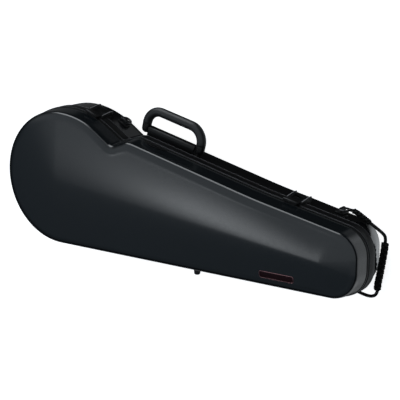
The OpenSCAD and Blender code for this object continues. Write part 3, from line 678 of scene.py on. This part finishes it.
def latch_place(pin_node):
    """Turns a point (x along the wall, y out of it, z up) at a latch into the row frame."""
    pin = frame["nodes"][pin_node]
    points = [pin.matrix_world @ v.co for v in pin.data.vertices]
    mid = sum(points, Vector()) / len(points)
    along = max(points, key=lambda q: (q - mid).length) - mid
    along = Vector((along.x, along.y, 0)).normalized()
    out = Vector((along.y, -along.x, 0))
    if out.y > 0:
        out = -out

    def place(x, y, z):
        return mid + MM * (x * along + (y - RAIL_PIN[0]) * out + (z - RAIL_PIN[1]) * UP)

    return place


# Two painted-highlight strips at each latch, one along each rail's edge
for end in ("left", "right"):
    place = latch_place("latch_pin_" + end)
    for side, tag in ((-1, "a"), (1, "b")):
        line = smooth_line([place(side * RAIL_X, y, z) for y, z in RAIL_EDGE], steps=4)
        edge_mesh = tube_mesh(line, RAIL_EDGE_R * MM, sides=8)
        piece_from(f"latch_rail_edge_{end}_{tag}", *edge_mesh, "base", RAIL_PAINTED_HIGHLIGHT)

# ---- Bare badge plate: a raised border round a dark inlay ----
BADGE_U, BADGE_W, BADGE_L, BADGE_H = 616.0, 21.5, 70.0, 13.0
BADGE_LIFT, CORNER_STEPS = 0.15, 6
lid_tree = BVHTree.FromObject(lid, bpy.context.evaluated_depsgraph_get())


def lid_height(u, w):
    """The lid's outer height at a point, by a ray from above."""
    hit = lid_tree.ray_cast(at(u, w, 2 * LID_H), Vector((0, 0, -1)))[0]
    return hit.z / MM - SEAM_Z


badge_rows = [max(lid_height(BADGE_U + end * BADGE_L / 2, BADGE_W + edge * BADGE_H / 2)
                  for end in (-1, 0, 1)) for edge in (-1, 1)]
BADGE_TILT = math.atan((badge_rows[1] - badge_rows[0]) / BADGE_H)
BADGE_Z = sum(badge_rows) / 2 + BADGE_LIFT


def on_badge(x, y, h):
    """Turns a point on the badge (x along it, y across it, h above it) into the row frame."""
    c, s = math.cos(BADGE_TILT), math.sin(BADGE_TILT)
    return at(BADGE_U + x, BADGE_W + y * c - h * s, BADGE_Z + y * s + h * c)


def rounded(inset, radius):
    """A rounded rectangle as points, inset from the badge's edge."""
    points = []
    for k, (sx, sy) in enumerate(((1, 1), (-1, 1), (-1, -1), (1, -1))):
        cx = sx * (BADGE_L / 2 - inset - radius)
        cy = sy * (BADGE_H / 2 - inset - radius)
        for i in range(CORNER_STEPS + 1):
            a = math.pi / 2 * (k + i / CORNER_STEPS)
            points.append((cx + radius * math.cos(a), cy + radius * math.sin(a)))
    return points


def plate(name, rings, finish):
    """Rounded rectangles (inset, corner radius, height) joined up, with the last one filled."""
    verts = [on_badge(x, y, h) for inset, radius, h in rings for x, y in rounded(inset, radius)]
    count = 4 * (CORNER_STEPS + 1)
    faces = loop_faces(len(rings), count)
    faces.append(tuple((len(rings) - 1) * count + k for k in range(count)))
    return piece_from(name, verts, faces, "lid", finish)


border = plate("badge_border", [(0, 3.8, -0.3), (0, 3.8, 0.5), (0.3, 3.5, 0.8), (0.8, 3.0, 0.8),
                                (1.0, 2.8, 0.45), (1.0, 2.8, 0.3)], EDGE)
plate("badge_inlay", [(1.0, 2.8, 0.3), (1.1, 2.7, 0.42), (1.5, 2.4, 0.5)], BADGE)
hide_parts("badge_plate")

# ---- CAD nodes with softened edges ----
BEVEL_SEGMENTS, BEVEL_DEG, SHADE_DEG, MERGE_M, FLAT_DEG = 2, 28.0, 40.0, 1e-6, 1.0


def refined(cad_node, finish, width):
    """The CAD solid with its sharp edges rounded by width, in millimetres."""
    mesh = frame["nodes"][cad_node].data.copy()
    build = bmesh.new()
    build.from_mesh(mesh)
    bmesh.ops.remove_doubles(build, verts=build.verts, dist=MERGE_M)
    bmesh.ops.dissolve_limit(build, angle_limit=math.radians(FLAT_DEG), verts=build.verts,
                             edges=build.edges)
    build.to_mesh(mesh)
    build.free()
    piece = piece_of(cad_node + "_fine", mesh, BODY_OF[cad_node], finish, BEVEL_DEG)
    applied(piece, ("BEVEL", {"width": width * MM, "segments": BEVEL_SEGMENTS,
                              "limit_method": "ANGLE", "angle_limit": math.radians(BEVEL_DEG),
                              "use_clamp_overlap": True}))
    piece.data.shade_smooth()
    piece.data.set_sharp_from_angle(angle=math.radians(SHADE_DEG))
    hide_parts(cad_node)
    return piece


for cad_node, finish, width in (
    ("handle_bracket", PLASTIC, 0.8),
    ("handle_sleeves", PLASTIC, 0.5),
    ("latch_plate_left", PLASTIC, 0.4),
    ("latch_plate_right", PLASTIC, 0.4),
    ("latch_lever_left", PLASTIC, 0.6),
    ("latch_lever_right", PLASTIC, 0.6),
    ("latch_keepers", PLASTIC, 0.5),
    ("lid_thumb_lip", PLASTIC, 0.8),
    ("waist_ring_mount", PLASTIC, 0.5),
    ("end_ring_mount", PLASTIC, 0.5),
    ("neck_ring_mounts", PLASTIC, 0.5),
    ("base_hinge_leaves", PLASTIC, 0.3),
    ("lid_hinge_leaves", PLASTIC, 0.3),
    ("bow_posts", PLASTIC, 0.4),
    ("bow_spinner_left", PLASTIC, 0.6),
    ("bow_spinner_right", PLASTIC, 0.6),
    ("neck_strap", WEBBING, 0.4),
    ("rosin_lid_tab", WEBBING, 0.3),
):
    refined(cad_node, finish, width)

# CAD nodes that are shown as they are
STEEL_NODES = ("bracket_screws", "latch_pin_left", "latch_pin_right", "neck_ring_upper",
               "neck_ring_lower", "hinge_pins", "waist_ring", "end_ring", "rosin_hinge_pin")
FEET = ("side_feet", "back_feet", "lid_foot")
for nodes, finish in ((STEEL_NODES, STEEL), (FEET, SEAL)):
    for cad_node in nodes:
        for slot_place in frame["nodes"][cad_node].material_slots:
            slot_place.material = finish[1]

# ---- Floor and light ----
FLOOR_HALF = 6.0
floor_mesh = bpy.data.meshes.new("floor")
floor_mesh.from_pydata([(x * FLOOR_HALF, y * FLOOR_HALF, 0) for x, y in
                        ((-1, -1), (1, -1), (1, 1), (-1, 1))], [], [(0, 1, 2, 3)])
floor = bpy.data.objects.new("floor", floor_mesh)
scene.collection.objects.link(floor)
floor_material = surface("floor_paper", (0.9, 0.9, 0.9), 0.95,
                         {"Emission Strength": 0.82, "Emission Color": (1, 1, 1, 1)},
                         tint=(0.88, 0.88, 0.88), bump=0.01)
floor_mesh.materials.append(floor_material)
floor.visible_glossy = False
floor.visible_diffuse = False
floor.visible_shadow = False


def dome(dim, patches):
    """A studio dome: dim light all round, and soft-edged patches of brighter light.

    A patch is (strength, tint, edges); each edge is (direction, where it is 0, where it is 1)."""
    world = bpy.data.worlds.new("studio")
    world.use_nodes = True
    tree = world.node_tree
    way = node(tree, "ShaderNodeTexCoord").outputs["Generated"]
    total = dim
    for strength, tint, edges in patches:
        patch = strength
        for direction, dark, bright in edges:
            along = node(tree, "ShaderNodeVectorMath", {0: way, 1: direction},
                         operation="DOT_PRODUCT").outputs["Value"]
            ramp = node(tree, "ShaderNodeMapRange",
                        {"Value": along, "From Min": dark, "From Max": bright},
                        interpolation_type="SMOOTHSTEP").outputs["Result"]
            patch = node(tree, "ShaderNodeMath", {0: ramp, 1: patch},
                         operation="MULTIPLY").outputs[0]
        glow = node(tree, "ShaderNodeVectorMath", {0: tint, "Scale": patch},
                    operation="SCALE").outputs[0]
        total = node(tree, "ShaderNodeVectorMath", {0: glow, 1: total}, operation="ADD").outputs[0]
    tree.links.new(total, tree.nodes["Background"].inputs["Color"])
    return world


X_AXIS, Y_AXIS, Z_AXIS = (1, 0, 0), (0, 1, 0), (0, 0, 1)
WHITE, COOL = (0.95, 1, 1.04), (0.8, 1.0, 1.2)
RIDGE, CORE_LOW = (1.2, 1, 0), (-1.6, 1, 0)
scene.world = dome((0.008, 0.008, 0.008), [
    # Overhead, over everything that faces up
    (0.17, COOL, ((Z_AXIS, 0.3, 0.65),)),
    # The broad light on the lid's handle side, cut off along the ridge
    (0.44, WHITE, ((RIDGE, 0.97, 0.83), (Y_AXIS, 0.33, 0.24), (Z_AXIS, 0.15, 0.5),
                   (Y_AXIS, -0.9, -0.5))),
    # Its bright core
    (5.2, WHITE, ((RIDGE, 0.90, 0.77), (CORE_LOW, -0.81, -0.75), (X_AXIS, 0.65, 0.55),
                  (X_AXIS, 0.43, 0.57), (Y_AXIS, -0.25, 0.02), (Z_AXIS, 0.5, 0.7))),
    # The line on the lid's edge
    (4.0, WHITE, ((Y_AXIS, -0.66, -0.78), (Z_AXIS, -0.25, 0), (Z_AXIS, 0.55, 0.35),
                  (X_AXIS, 0.02, 0.16))),
    # The neck end: its lid wall, and from right below its base wall
    (0.85, WHITE, ((X_AXIS, -0.1, -0.45), (Z_AXIS, -0.45, -0.66), (Z_AXIS, -0.82, -0.77))),
    (0.6, WHITE, ((Z_AXIS, -0.83, -0.93), (X_AXIS, 0.3, 0.1), (Y_AXIS, -0.3, -0.1))),
    # Low glows on the handle side's walls
    (0.15, WHITE, ((X_AXIS, 0.22, 0.1), (Y_AXIS, -0.45, -0.56), (Z_AXIS, -0.6, -0.72))),
    (0.07, WHITE, ((X_AXIS, 0.45, 0.54), (Z_AXIS, -0.55, -0.68))),
    # Behind the hinge side, for the views from the back
    (0.5, WHITE, ((Y_AXIS, 0.5, 0.7), (Z_AXIS, -0.15, -0.3))),
])


def softbox(name, place, aim, size, power):
    """A rectangular area light, turned towards aim."""
    data = bpy.data.lights.new(name, "AREA")
    data.shape = "RECTANGLE"
    data.size, data.size_y = size
    data.energy = power
    light = bpy.data.objects.new(name, data)
    light.location = place
    light.rotation_mode = "QUATERNION"
    light.rotation_quaternion = (Vector(aim) - Vector(place)).to_track_quat("-Z", "Y")
    scene.collection.objects.link(light)


softbox("side_box", place=(-0.2, -2.0, 1.5), aim=(0, 0, 0.1), size=(2.0, 0.5), power=3)

scene.view_settings.view_transform = "Standard"
